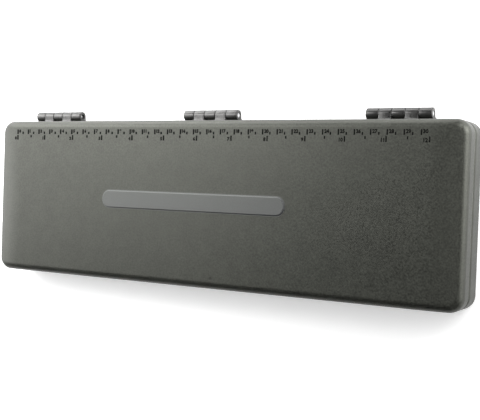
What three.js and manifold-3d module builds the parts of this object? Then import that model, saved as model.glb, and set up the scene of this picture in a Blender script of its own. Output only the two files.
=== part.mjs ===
// Fishing rig box: a flat moulded case in two halves on three pinned hinges, held shut by magnets.
// Inside are a foam bed, a hook rack at the left end and a set of rig pins at the right end.
// Millimetres. +X runs along the length, +Y towards the hinges, +Z out of the lid.
// The origin is the centre of the base's underside.

import * as THREE from 'three';
import { mergeVertices } from 'three/addons/utils/BufferGeometryUtils.js';
import Module from 'manifold-3d';

// Case
const caseLength = 344;
const caseWidth = 107;
const baseHeight = 15;
const lidHeight = 15;
const wall = 2.4;
const floorThickness = 2;
const roofThickness = 2.2;
const cornerRadius = 8.5;
const lidEdgeRadius = 5;
const baseEdgeRadius = 3;
const insideEdgeRadius = 0.8;
const smallestRadius = 0.4;
const partingGap = 0.3;

// Fall of the lid's top towards both ends
const endFallLength = 22;
const endFall = 2;

// Rim: a lip on the base that stands in a rebate of the lid
const lipThickness = 1;
const lipHeight = 1.4;
const lipClearance = 0.25;

// Blank raised plate on the lid
const plateLength = 137;
const plateWidth = 11;
const plateRise = 0.8;
const plateLeftOfCentre = 6.5;
const plateBackOfCentre = 0.8;

// Hinges
const barrelRadius = 3.5;
const barrelClearance = 0.3;
const knucklePitch = 8.1;
const knuckleGap = 0.3;
const knucklesPerHinge = 5;
const hingeFromEnd = 44.6;
const rootFillet = 1.6;
const hingePinRadius = 1.5;
const hingePinClearance = 0.1;
const closedEnd = 1.5;
const hingePinEndGap = 0.3;
const hingeNames = ['left', 'middle', 'right'];

// Closing magnets
const magnetLength = 20;
const magnetWidth = 4;
const magnetHeight = 3;
const magnetFromEnd = 72;
const magnetWall = 1.2;
const magnetNames = ['left', 'middle', 'right'];

// Foam bed
const foamThickness = 8;
const ribThickness = 1.6;
const ribHeight = 5;

// Hook rack and its screws
const rackEndGap = 3;
const rackFlangeWidth = 9;
const rackFlangeThickness = 1.6;
const rackBladeThickness = 2;
const rackTopAboveFloor = 15;
const rackSlotWidth = 1;
const rackSlotDepth = 5;
const rackSideMargin = 4;
const rackSideGap = 5.3;
const rackBossRadius = 3.4;
const rackBossHeight = 3;
const screwFromRackEnd = 7.8;
const screwShankRadius = 1.1;
const screwHeadRadius = 2.4;
const screwHeadHeight = 1.7;
const screwTipAboveUnderside = 1.5;
const ribBehindRack = 3;

// Rig pins
const rigCount = 20;
const pinColumnSpacing = 16;
const pinColumnFromEnd = 25;
const needleRadius = 0.7;
const foamUnderNeedle = 1.6;
const needleTip = 1.4;
const needleClearance = 0.3;
const pinFootRadius = 2.8;
const pinFootHeight = 1.2;
const pinWaistRadius = 1.2;
const pinWaistHeight = 2.4;
const pinCapRadius = 2.5;
const pinCapHeight = 2;

// Fits
const seatGap = 0.1;
const pocketClearance = 0.15;
const overrun = 1;

// Facets
const cornerFacets = 7;
const edgeFacets = 5;
const barrelFacets = 20;
const screwFacets = 12;
const rigPinFacets = 8;
const holeFacets = 8;
const endFallSteps = 3;

// Places worked out from the sizes above
const hingeZ = baseHeight;
const hingeY = caseWidth / 2 + barrelClearance + barrelRadius;
const baseRim = baseHeight - partingGap / 2;
const lidRim = baseHeight + partingGap / 2;
const crown = baseHeight + lidHeight;
const insideRoof = crown - roofThickness;
const innerEndX = caseLength / 2 - wall;
const innerSideY = caseWidth / 2 - wall;
const bossDepth = magnetWidth + 2 * magnetWall;
const bossLength = magnetLength + 2 * magnetWall;
const bossBackY = -innerSideY + bossDepth;
const magnetY = -innerSideY + bossDepth / 2;
const hingeOutX = caseLength / 2 - hingeFromEnd;
const hingePlaces = [-hingeOutX, 0, hingeOutX];
const magnetOutX = caseLength / 2 - magnetFromEnd;
const magnetPlaces = [-magnetOutX, 0, magnetOutX];
const foamSideGap = insideEdgeRadius + seatGap;
const rackLeftX = -innerEndX + rackEndGap;
const rackRightX = rackLeftX + rackFlangeWidth;
const rackFlangeZ = floorThickness + rackBossHeight + seatGap;
const rackFlangeTop = rackFlangeZ + rackFlangeThickness;
const rackTop = floorThickness + rackTopAboveFloor;
const screwX = rackLeftX + (rackFlangeWidth - rackBladeThickness) / 2;
const rackHalfWidth = innerSideY - rackSideGap;
const screwPlaces = { front: screwFromRackEnd - rackHalfWidth, back: rackHalfWidth - screwFromRackEnd };
const rigPitch = 2 * (rackHalfWidth - rackSideMargin) / (rigCount - 1);
const ribX = rackRightX + ribBehindRack;
const foamLeftX = ribX + ribThickness + foamSideGap;
const foamRightX = innerEndX - foamSideGap;
const foamTop = floorThickness + foamThickness;
const pinSeat = foamTop + seatGap;
const needleDepth = pinSeat - floorThickness - foamUnderNeedle;

const wasm = await Module();
wasm.setup();

// Solids

function solidFrom(geometry) {
  const bare = geometry.clone();
  bare.deleteAttribute('normal');
  bare.deleteAttribute('uv');
  const welded = mergeVertices(bare);
  return new wasm.Manifold(new wasm.Mesh({
    numProp: 3,
    vertProperties: new Float32Array(welded.attributes.position.array),
    triVerts: new Uint32Array(welded.index.array),
  }));
}

function geometryFrom(solid) {
  const mesh = solid.getMesh();
  const geometry = new THREE.BufferGeometry();
  geometry.setAttribute('position', new THREE.BufferAttribute(mesh.vertProperties, mesh.numProp));
  geometry.setIndex(new THREE.BufferAttribute(mesh.triVerts, 1));
  geometry.computeVertexNormals();
  return geometry;
}

function roundedRectangle(length, width, radius, path = new THREE.Shape()) {
  const x = length / 2 - radius;
  const y = width / 2 - radius;
  const quarter = Math.PI / 2;
  path.moveTo(-x, -y - radius);
  path.lineTo(x, -y - radius);
  path.absarc(x, -y, radius, -quarter, 0, false);
  path.lineTo(x + radius, y);
  path.absarc(x, y, radius, 0, quarter, false);
  path.lineTo(-x, y + radius);
  path.absarc(-x, y, radius, quarter, 2 * quarter, false);
  path.lineTo(-x - radius, -y);
  path.absarc(-x, -y, radius, 2 * quarter, 3 * quarter, false);
  return path;
}

// The outline of the case, drawn in by an inset all round and then shortened at both ends.
function caseOutline(inset, path = new THREE.Shape(), shortening = 0) {
  const radius = Math.max(cornerRadius - inset, smallestRadius);
  const length = caseLength - 2 * (inset + shortening);
  return roundedRectangle(length, caseWidth - 2 * inset, radius, path);
}

function upright(shape, low, high) {
  const options = { depth: high - low, bevelEnabled: false, curveSegments: cornerFacets };
  const geometry = new THREE.ExtrudeGeometry(shape, options);
  geometry.translate(0, 0, low);
  return solidFrom(geometry);
}

// An upright block whose bottom and top edges are rounded all the way round.
function rounded(shape, low, high, edgeRadius) {
  const geometry = new THREE.ExtrudeGeometry(shape, {
    depth: high - low - 2 * edgeRadius,
    bevelEnabled: true,
    bevelThickness: edgeRadius,
    bevelSize: edgeRadius,
    bevelOffset: -edgeRadius,
    bevelSegments: edgeFacets,
    curveSegments: cornerFacets,
  });
  geometry.translate(0, 0, low + edgeRadius);
  return solidFrom(geometry);
}

function block(x0, x1, y0, y1, z0, z1) {
  const geometry = new THREE.BoxGeometry(x1 - x0, y1 - y0, z1 - z0);
  geometry.translate((x0 + x1) / 2, (y0 + y1) / 2, (z0 + z1) / 2);
  return solidFrom(geometry);
}

function uprightRod(radius, x, y, low, high, facets) {
  const geometry = new THREE.CylinderGeometry(radius, radius, high - low, facets);
  geometry.rotateX(Math.PI / 2);
  geometry.translate(x, y, (low + high) / 2);
  return solidFrom(geometry);
}

function rodAlongX(radius, x0, x1, y, z, facets) {
  const geometry = new THREE.CylinderGeometry(radius, radius, x1 - x0, facets);
  geometry.rotateZ(-Math.PI / 2);
  geometry.translate((x0 + x1) / 2, y, z);
  return solidFrom(geometry);
}

// Carries a shape drawn in Y and Z along X.
function extrudedAlongX(shape, x0, x1, curveSegments) {
  const options = { depth: x1 - x0, bevelEnabled: false, curveSegments };
  const geometry = new THREE.ExtrudeGeometry(shape, options);
  const axes = [new THREE.Vector3(0, 1, 0), new THREE.Vector3(0, 0, 1), new THREE.Vector3(1, 0, 0)];
  geometry.applyMatrix4(new THREE.Matrix4().makeBasis(...axes));
  geometry.translate(x0, 0, 0);
  return solidFrom(geometry);
}

// Everything of the case's plan between two heights, for trimming.
function slab(low, high) {
  const x = caseLength / 2 + overrun;
  const y = caseWidth / 2 + overrun;
  return block(-x, x, -y, y, low, high);
}

// A ring that follows the case's outline between two insets.
function caseRing(outerInset, innerInset, low, high) {
  const ring = caseOutline(outerInset);
  ring.holes.push(caseOutline(innerInset, new THREE.Path()));
  return upright(ring, low, high);
}

// Hinges

// Section of one knuckle: a barrel with an arm along one side of the parting line and a filleted root.
// side is 1 for the lid, above the parting line, and -1 for the base, below it.
function knuckleSection(side) {
  const wallY = hingeY - barrelClearance - barrelRadius;
  const under = side * partingGap / 2;
  const dip = Math.asin(partingGap / 2 / barrelRadius);
  const crest = side * barrelRadius;
  const rootY = wallY - wall / 2;
  const fillet = Math.min(rootFillet, barrelClearance + barrelRadius);
  const section = new THREE.Shape();
  section.moveTo(rootY, hingeZ + under);
  section.lineTo(hingeY - barrelRadius * Math.cos(dip), hingeZ + under);
  section.absarc(hingeY, hingeZ, barrelRadius, Math.PI - side * dip, side * Math.PI / 2, side < 0);
  section.lineTo(wallY + fillet, hingeZ + crest);
  const turn = side * Math.PI / 2;
  section.absarc(wallY + fillet, hingeZ + crest + side * fillet, fillet, -turn, Math.PI, side > 0);
  section.lineTo(rootY, hingeZ + crest + side * fillet);
  section.closePath();
  return section;
}

function knuckleStart(centre, index) {
  return centre + (index - knucklesPerHinge / 2) * knucklePitch + knuckleGap / 2;
}

// Adds every knuckle of one half and cuts the pin's bore through them. Even knuckles are the base's.
function withKnuckles(body, side) {
  const first = side > 0 ? 1 : 0;
  const section = knuckleSection(side);
  let result = body;
  for (const centre of hingePlaces) {
    for (let index = first; index < knucklesPerHinge; index += 2) {
      const start = knuckleStart(centre, index);
      const end = start + knucklePitch - knuckleGap;
      result = result.add(extrudedAlongX(section, start, end, barrelFacets / 2));
    }
    const boreStart = knuckleStart(centre, 0) + closedEnd;
    const boreEnd = knuckleStart(centre, knucklesPerHinge) + overrun;
    const boreRadius = hingePinRadius + hingePinClearance;
    result = result.subtract(rodAlongX(boreRadius, boreStart, boreEnd, hingeY, hingeZ, barrelFacets));
  }
  return result;
}

function hingePin(centre) {
  const start = knuckleStart(centre, 0) + closedEnd + hingePinEndGap;
  const end = knuckleStart(centre, knucklesPerHinge) - knuckleGap - hingePinEndGap;
  return rodAlongX(hingePinRadius, start, end, hingeY, hingeZ, barrelFacets);
}

// Magnets

function magnetBoss(x, low, high) {
  const frontY = -innerSideY - wall / 2;
  return block(x - bossLength / 2, x + bossLength / 2, frontY, bossBackY, low, high);
}

function magnetBlock(x, low, high, clearance) {
  const dx = magnetLength / 2 + clearance;
  const dy = magnetWidth / 2 + clearance;
  return block(x - dx, x + dx, magnetY - dy, magnetY + dy, low, high);
}

// Case halves

function baseShell() {
  let shell = rounded(caseOutline(0), 0, baseRim + 2 * baseEdgeRadius, baseEdgeRadius);
  shell = shell.intersect(slab(-overrun, baseRim));
  const cavityTop = baseRim + lipHeight + insideEdgeRadius + overrun;
  const cavity = rounded(caseOutline(wall), floorThickness, cavityTop, insideEdgeRadius);
  shell = shell.add(caseRing(wall - lipThickness, wall, baseRim - lipThickness, baseRim + lipHeight));
  shell = shell.subtract(cavity);
  shell = shell.add(stopRib());
  for (const y of Object.values(screwPlaces)) {
    const bossTop = floorThickness + rackBossHeight;
    shell = shell.add(uprightRod(rackBossRadius, screwX, y, floorThickness / 2, bossTop, screwFacets));
    const hole = screwShankRadius + pocketClearance;
    const holeBottom = screwTipAboveUnderside - seatGap;
    shell = shell.subtract(uprightRod(hole, screwX, y, holeBottom, bossTop + overrun, screwFacets));
  }
  for (const x of magnetPlaces) {
    shell = shell.add(magnetBoss(x, floorThickness / 2, baseRim));
    const pocketFloor = baseRim - magnetHeight - 2 * seatGap;
    shell = shell.subtract(magnetBlock(x, pocketFloor, baseRim + overrun, pocketClearance));
  }
  return withKnuckles(shell, -1);
}

// Low rib across the floor between the hook rack and the foam.
function stopRib() {
  const y = innerSideY + wall / 2;
  return block(ribX, ribX + ribThickness, -y, y, floorThickness / 2, floorThickness + ribHeight);
}

// A rounded block on the inset outline. Its top falls towards both ends by the square of the way.
function lidBlock(inset, low, top, edgeRadius) {
  const reach = endFallLength - lidEdgeRadius;
  const blocks = [];
  for (let step = 0; step <= endFallSteps; step += 1) {
    const share = step / endFallSteps;
    const outline = caseOutline(inset, new THREE.Shape(), reach * (1 - share));
    blocks.push(rounded(outline, low, top - endFall * share * share, edgeRadius));
  }
  return wasm.Manifold.hull(blocks);
}

function lidShell() {
  const low = lidRim - lidEdgeRadius - overrun;
  let shell = lidBlock(0, low, crown, lidEdgeRadius);
  shell = shell.intersect(slab(lidRim, crown + overrun));
  const innerEdge = Math.max(lidEdgeRadius - wall, smallestRadius);
  shell = shell.subtract(lidBlock(wall, low - lidEdgeRadius, insideRoof, innerEdge));
  for (const x of magnetPlaces) {
    shell = shell.add(magnetBoss(x, lidRim, insideRoof + roofThickness / 2).intersect(lidSpace()));
    const pocketRoof = lidRim + magnetHeight + 2 * seatGap;
    shell = shell.subtract(magnetBlock(x, lidRim - overrun, pocketRoof, pocketClearance));
  }
  const rebateOuter = wall - lipThickness - lipClearance;
  const rebateTop = baseRim + lipHeight + partingGap;
  shell = shell.subtract(caseRing(rebateOuter, wall + lipClearance, lidRim - overrun, rebateTop));
  shell = shell.add(raisedPlate());
  return withKnuckles(shell, 1);
}

// The space inside the middle of the lid's skin, which its bosses grow into.
function lidSpace() {
  const low = lidRim - 2 * lidEdgeRadius - overrun;
  const edge = Math.max(lidEdgeRadius - wall / 2, smallestRadius);
  return lidBlock(wall / 2, low, crown - roofThickness / 2, edge);
}

function raisedPlate() {
  const outline = roundedRectangle(plateLength, plateWidth, plateWidth / 2 - smallestRadius);
  const plate = upright(outline, crown - roofThickness / 2, crown + plateRise);
  return plate.translate([-plateLeftOfCentre, plateBackOfCentre, 0]);
}

// Foam bed

function foamBed() {
  const radius = Math.max(cornerRadius - wall - foamSideGap, smallestRadius);
  const length = foamRightX - foamLeftX;
  const width = 2 * (innerSideY - foamSideGap);
  const outline = roundedRectangle(length, width, radius);
  let foam = upright(outline, floorThickness, foamTop).translate([(foamLeftX + foamRightX) / 2, 0, 0]);
  for (const x of magnetPlaces) {
    const half = bossLength / 2 + foamSideGap;
    const backY = bossBackY + foamSideGap;
    const frontY = -innerSideY - overrun;
    foam = foam.subtract(block(x - half, x + half, frontY, backY, 0, foamTop + overrun));
  }
  const holeRadius = needleRadius + needleClearance;
  const holeBottom = pinSeat - needleDepth - needleClearance;
  for (const place of rigPinPlaces()) {
    foam = foam.subtract(uprightRod(holeRadius, place.x, place.y, holeBottom, foamTop + overrun, holeFacets));
  }
  return foam;
}

// Hook rack

function rigY(index) {
  return (index - (rigCount - 1) / 2) * rigPitch;
}

function rackBladeOutline() {
  const low = floorThickness + seatGap;
  const slotFloor = rackTop - rackSlotDepth;
  const outline = new THREE.Shape();
  outline.moveTo(-rackHalfWidth, low);
  outline.lineTo(rackHalfWidth, low);
  outline.lineTo(rackHalfWidth, rackTop);
  for (let index = rigCount - 1; index >= 0; index -= 1) {
    const y = rigY(index);
    outline.lineTo(y + rackSlotWidth / 2, rackTop);
    outline.lineTo(y + rackSlotWidth / 2, slotFloor);
    outline.lineTo(y - rackSlotWidth / 2, slotFloor);
    outline.lineTo(y - rackSlotWidth / 2, rackTop);
  }
  outline.lineTo(-rackHalfWidth, rackTop);
  outline.closePath();
  return outline;
}

function hookRack() {
  const bladeX = rackRightX - rackBladeThickness;
  const flangeEndX = rackRightX - rackBladeThickness / 2;
  let rack = block(rackLeftX, flangeEndX, -rackHalfWidth, rackHalfWidth, rackFlangeZ, rackFlangeTop);
  rack = rack.add(extrudedAlongX(rackBladeOutline(), bladeX, rackRightX, cornerFacets));
  for (const y of Object.values(screwPlaces)) {
    const hole = screwShankRadius + pocketClearance;
    const low = rackFlangeZ - overrun;
    rack = rack.subtract(uprightRod(hole, screwX, y, low, rackFlangeTop + overrun, screwFacets));
  }
  return rack;
}

// Turned pieces

function turned(points, facets, x, y, z) {
  const geometry = new THREE.LatheGeometry(points, facets);
  geometry.rotateX(Math.PI / 2);
  geometry.translate(x, y, z);
  return solidFrom(geometry);
}

// A screw whose head seats on the rack's flange, drawn from the tip up.
function rackScrew(y) {
  const seat = rackFlangeTop + seatGap;
  const tip = screwTipAboveUnderside - seat;
  const dome = screwHeadHeight / 2;
  const points = [
    new THREE.Vector2(0, tip),
    new THREE.Vector2(screwShankRadius, tip),
    new THREE.Vector2(screwShankRadius, 0),
    new THREE.Vector2(screwHeadRadius, 0),
    new THREE.Vector2(screwHeadRadius, dome),
    new THREE.Vector2(screwHeadRadius - dome, screwHeadHeight),
    new THREE.Vector2(0, screwHeadHeight),
  ];
  return turned(points, screwFacets, screwX, y, seat);
}

// The pins stand in two columns, so that neighbours across the width are clear of each other.
function rigPinPlaces() {
  const outerX = foamRightX - pinColumnFromEnd;
  const places = [];
  for (let index = 0; index < rigCount; index += 1) {
    const x = index % 2 === 0 ? outerX : outerX - pinColumnSpacing;
    places.push({ x, y: rigY(index) });
  }
  return places;
}

// A steel needle under a moulded head with a foot, a waist for the loop and a domed cap.
function rigPin({ x, y }) {
  const capBottom = pinFootHeight + pinWaistHeight;
  const capTop = capBottom + pinCapHeight;
  const points = [
    new THREE.Vector2(0, -needleDepth),
    new THREE.Vector2(needleRadius, needleTip - needleDepth),
    new THREE.Vector2(needleRadius, 0),
    new THREE.Vector2(pinFootRadius, 0),
    new THREE.Vector2(pinFootRadius, pinFootHeight / 2),
    new THREE.Vector2(pinWaistRadius, pinFootHeight),
    new THREE.Vector2(pinWaistRadius, capBottom),
    new THREE.Vector2(pinCapRadius, capBottom + pinCapHeight / 3),
    new THREE.Vector2(pinCapRadius * Math.SQRT1_2, capTop - pinCapHeight / 4),
    new THREE.Vector2(0, capTop),
  ];
  return turned(points, rigPinFacets, x, y, pinSeat);
}

// Finishes

function finish(color, roughness, metalness) {
  return () => new THREE.MeshStandardMaterial({ color, roughness, metalness });
}

const shellPlastic = finish('#5b5c56', 0.55, 0);
const blackFoam = finish('#1f2122', 0.95, 0);
const darkPlastic = finish('#2c2e2d', 0.5, 0);
const steel = finish('#c9cbcd', 0.25, 1);
const magnetSteel = finish('#9a9da0', 0.35, 1);
const pinPlastic = finish('#3d4038', 0.5, 0);

// Assembly

const rigBox = new THREE.Group();

function place(name, solid, material, group = rigBox) {
  const mesh = new THREE.Mesh(geometryFrom(solid), material());
  mesh.name = name;
  group.add(mesh);
}

place('base_shell', baseShell(), shellPlastic);
place('lid_shell', lidShell(), shellPlastic);
place('foam_bed', foamBed(), blackFoam);
place('hook_rack', hookRack(), darkPlastic);

for (const [side, y] of Object.entries(screwPlaces)) {
  place(`rack_screw_${side}`, rackScrew(y), steel);
}

hingeNames.forEach((name, i) => place(`hinge_pin_${name}`, hingePin(hingePlaces[i]), steel));

magnetNames.forEach((name, i) => {
  const baseTop = baseRim - seatGap;
  const lidBottom = lidRim + seatGap;
  const x = magnetPlaces[i];
  place(`base_magnet_${name}`, magnetBlock(x, baseTop - magnetHeight, baseTop, 0), magnetSteel);
  place(`lid_magnet_${name}`, magnetBlock(x, lidBottom, lidBottom + magnetHeight, 0), magnetSteel);
});

rigPinPlaces().forEach((spot, i) => {
  place(`rig_pin_${String(i + 1).padStart(2, '0')}`, rigPin(spot), pinPlastic);
});

export default rigBox;
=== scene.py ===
"""Fishing rig box: fine meshes and finishes for every piece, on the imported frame.

Shapes are worked out in millimetres and turned into metres when their mesh is made. +X runs along the length, +Y
towards the hinges and +Z out of the lid. Every shape is a stack of rings: ring k of a stack joins ring k + 1 with one
face for each point, and the rings run from the top middle of a solid outwards, down its outside and back in
underneath, so that all faces point outwards. A profile has a few points close beside its corners, which keep the
shading flat next to them.
"""

import logging
import math
from collections.abc import Sequence
from dataclasses import dataclass, field
from enum import Enum
from functools import cache

import bmesh
import bpy
import numpy as np
import numpy.typing as npt
from mathutils import Matrix, Vector, geometry


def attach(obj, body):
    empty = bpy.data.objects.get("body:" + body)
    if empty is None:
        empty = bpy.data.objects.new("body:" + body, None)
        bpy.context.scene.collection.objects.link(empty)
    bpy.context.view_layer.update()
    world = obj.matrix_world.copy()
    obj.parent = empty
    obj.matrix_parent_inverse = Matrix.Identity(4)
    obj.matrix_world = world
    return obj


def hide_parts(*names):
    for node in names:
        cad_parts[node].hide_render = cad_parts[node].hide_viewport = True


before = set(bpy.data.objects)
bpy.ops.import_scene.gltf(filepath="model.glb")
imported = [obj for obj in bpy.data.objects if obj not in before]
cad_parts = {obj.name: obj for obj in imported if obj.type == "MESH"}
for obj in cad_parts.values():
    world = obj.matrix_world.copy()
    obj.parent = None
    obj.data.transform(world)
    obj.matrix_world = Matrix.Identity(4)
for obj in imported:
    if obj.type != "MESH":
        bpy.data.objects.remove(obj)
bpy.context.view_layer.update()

Array = npt.NDArray[np.float64]
Pair = tuple[float, float]
Colour = tuple[float, float, float]
Place = tuple[float, float, float]
Material = bpy.types.Material
Piece = bpy.types.Object
Socket = bpy.types.NodeSocket
Inputs = dict[str | int, Socket | float | tuple[float, ...]]

MM = 0.001
WELD = 1e-6
SHARP_ANGLE = 38
NOISE_SPAN: Pair = (0.3, 0.7)
# The Mix node's colour sockets share their names with its others, so they go by number.
MIX_LOW, MIX_HIGH, MIX_RESULT = 6, 7, 2
OLIVE: Colour = (0.0184, 0.0192, 0.0162)

log = logging.getLogger("rig_box")


class Half(Enum):
    """The two halves of the case, by the side of the parting line that they lie on."""

    LID = 1
    BASE = -1


class Position(Enum):
    """Places along the case, from left to right."""

    LEFT = -1
    MIDDLE = 0
    RIGHT = 1


# ---- Curves and surfaces ----


def arc(centre: Pair, radius: float, start: float, end: float, steps: int) -> Array:
    """Returns steps + 1 points of an arc: the centre plus the radius times the cosine and sine of even degrees."""
    angle = np.radians(np.linspace(start, end, steps + 1))
    return np.column_stack([centre[0] + radius * np.cos(angle), centre[1] + radius * np.sin(angle)])


def chain(*parts: Sequence[Sequence[float]] | Array) -> Array:
    """Returns single points, lists and arrays of points joined into one array."""
    return np.concatenate([np.atleast_2d(np.asarray(part, float)) for part in parts])


def slab(high: float, low: float, edges: Pair, steps: tuple[int, int]) -> Array:
    """A side between two rounded edges: a quarter circle down from the top and one in to the underside.

    Args:
        high: Height of the top.
        low: Height of the underside.
        edges: Radius of the upper and of the lower edge.
        steps: Pieces of each quarter circle.

    Returns:
        A profile, as rows of inset and height.
    """
    upper, lower = edges
    return chain(
        arc((upper, high - upper), upper, 90, 180, steps[0]),
        arc((lower, low + lower), lower, 180, 270, steps[1]),
    )


def smooth_step(low: float, high: float, value: Array) -> Array:
    """Returns a soft step at each value: 0 below low, 1 above high and 3t^2 - 2t^3 of the share t in between."""
    share = np.clip((value - low) / (high - low), 0, 1)
    return share * share * (3 - 2 * share)


def inset_rows(size: Pair, corner: float, profile: Array, middle: Pair = (0, 0)) -> Array:
    """Turns a profile into rows for Rounds.stack: each point draws the outline in by its inset and sets the height.

    Args:
        size: The outline's length and width.
        corner: Its corner radius.
        profile: Rows of inset and height.
        middle: The outline's centre.

    Returns:
        The table's rows.
    """
    inset, height = np.asarray(profile, float).T
    centre = np.broadcast_to(middle, (inset.size, 2))
    return np.column_stack([size[0] / 2 - inset, size[1] / 2 - inset, corner - inset, height, centre])


@dataclass(frozen=True)
class Rounds:
    """How finely a rounded rectangle is divided.

    A point of the rectangle is its centre, plus a signed share of the way to the corner's centre, plus the corner's
    radius times a unit direction. Shares on the sides follow a cosine, so that points lie closer near the corners.
    """

    long_steps: int = 12
    short_steps: int = 6
    corner_steps: int = 8

    def shares(self) -> tuple[Array, Array]:
        """Works out every point's share and direction, anticlockwise from the right side.

        Returns:
            The shares and the directions, each an array of two columns.
        """
        long_side = -np.cos(np.linspace(0, np.pi, self.long_steps + 1))[:-1]
        short_side = -np.cos(np.linspace(0, np.pi, self.short_steps + 1))[:-1]
        turn = np.linspace(0, np.pi / 2, self.corner_steps + 1)[:-1]
        share_parts, angle_parts = [], []
        for side, corner in enumerate(((1, 1), (-1, 1), (-1, -1), (1, -1))):
            along = long_side if side % 2 else short_side
            fixed = np.full(along.size, 1 if side < 2 else -1)
            moving = along if side in (0, 3) else -along
            share_parts.append(np.column_stack([moving, fixed] if side % 2 else [fixed, moving]))
            share_parts.append(np.tile(corner, (turn.size, 1)))
            angle_parts += [np.full(along.size, side * np.pi / 2), side * np.pi / 2 + turn]
        angle = np.concatenate(angle_parts)
        return np.concatenate(share_parts), np.column_stack([np.cos(angle), np.sin(angle)])

    def stack(self, table: Array) -> Array:
        """Makes one rounded rectangle for each row of a table.

        Args:
            table: Rows of half length, half width, corner radius, height, and the centre's X and Y.

        Returns:
            Rings of points, as an array of rows by points by three.
        """
        share, direction = self.shares()
        half_x, half_y, radius, height, middle_x, middle_y = np.asarray(table, float).T[:, :, None]
        x = middle_x + share[:, 0] * (half_x - radius) + radius * direction[:, 0]
        y = middle_y + share[:, 1] * (half_y - radius) + radius * direction[:, 1]
        return np.stack([x, y, np.broadcast_to(height, x.shape)], axis=-1)

    def block(self, size: Pair, corner: float, profile: Array, middle: Pair = (0, 0)) -> Array:
        """Returns the rings of a block whose sides follow a profile of inset and height."""
        return self.stack(inset_rows(size, corner, profile, middle))


def lathe(profile: Array, steps: int) -> Array:
    """A turned solid: each profile point of radius r and height h becomes the ring (r cos a, r sin a, h).

    Args:
        profile: Rows of radius and height, from the top middle to the bottom middle.
        steps: Points on each ring.

    Returns:
        The rings.
    """
    angle = np.linspace(0, 2 * np.pi, steps, endpoint=False)
    radius, height = np.asarray(profile, float).T[:, :, None]
    x = radius * np.cos(angle)
    return np.stack([x, radius * np.sin(angle), np.broadcast_to(height, x.shape)], axis=-1)


def outward(outline: Array) -> Array:
    """Unit directions out of a closed anticlockwise outline: its tangent at each point, turned a quarter clockwise.

    Args:
        outline: The outline's points.

    Returns:
        One direction for each point.
    """
    tangent = np.roll(outline, -1, axis=0) - np.roll(outline, 1, axis=0)
    normal = np.column_stack([tangent[:, 1], -tangent[:, 0]])
    return normal / np.linalg.norm(normal, axis=1, keepdims=True)


def carried(outline: Array, profile: Array) -> Array:
    """Carries an outline along its third axis, drawn in by each profile row's inset.

    Args:
        outline: Anticlockwise points.
        profile: Rows of inset and height.

    Returns:
        The rings.
    """
    inset, height = np.asarray(profile, float).T[:, :, None]
    flat = outline[None] - inset[:, :, None] * outward(outline)[None]
    return np.concatenate([flat, np.broadcast_to(height[:, :, None], (*flat.shape[:2], 1))], axis=-1)


def filleted(corners: Array, radii: Array, steps: int) -> Array:
    """Rounds a polygon's corners.

    At a corner whose sides meet at the angle a, the arc of radius r has its centre on the bisector, r / sin(a / 2)
    from the corner, and touches each side r / tan(a / 2) from it.

    Args:
        corners: Anticlockwise corner points.
        radii: One radius for each corner.
        steps: Pieces of each arc.

    Returns:
        The rounded outline's points.
    """
    before = np.roll(corners, 1, axis=0) - corners
    after = np.roll(corners, -1, axis=0) - corners
    before /= np.linalg.norm(before, axis=1, keepdims=True)
    after /= np.linalg.norm(after, axis=1, keepdims=True)
    half = np.arccos(np.clip(np.sum(before * after, axis=1), -1, 1)) / 2
    bisector = before + after
    bisector /= np.linalg.norm(bisector, axis=1, keepdims=True)
    centre = corners + bisector * (radii / np.sin(half))[:, None]
    reach = (radii / np.tan(half))[:, None]
    first = corners + before * reach - centre
    last = corners + after * reach - centre
    start = np.arctan2(first[:, 1], first[:, 0])
    sweep = np.arctan2(last[:, 1], last[:, 0]) - start
    sweep = (sweep + np.pi) % (2 * np.pi) - np.pi
    angle = start[:, None] + sweep[:, None] * np.linspace(0, 1, steps + 1)
    circle = np.stack([np.cos(angle), np.sin(angle)], axis=-1)
    return (centre[:, None] + radii[:, None, None] * circle).reshape(-1, 2)


def along_x(rings: Array) -> Array:
    """Lays a shape down, so that its height runs along X, its X along Y and its Y along Z."""
    return np.roll(rings, 1, axis=-1)


# ---- Finishes ----


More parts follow.
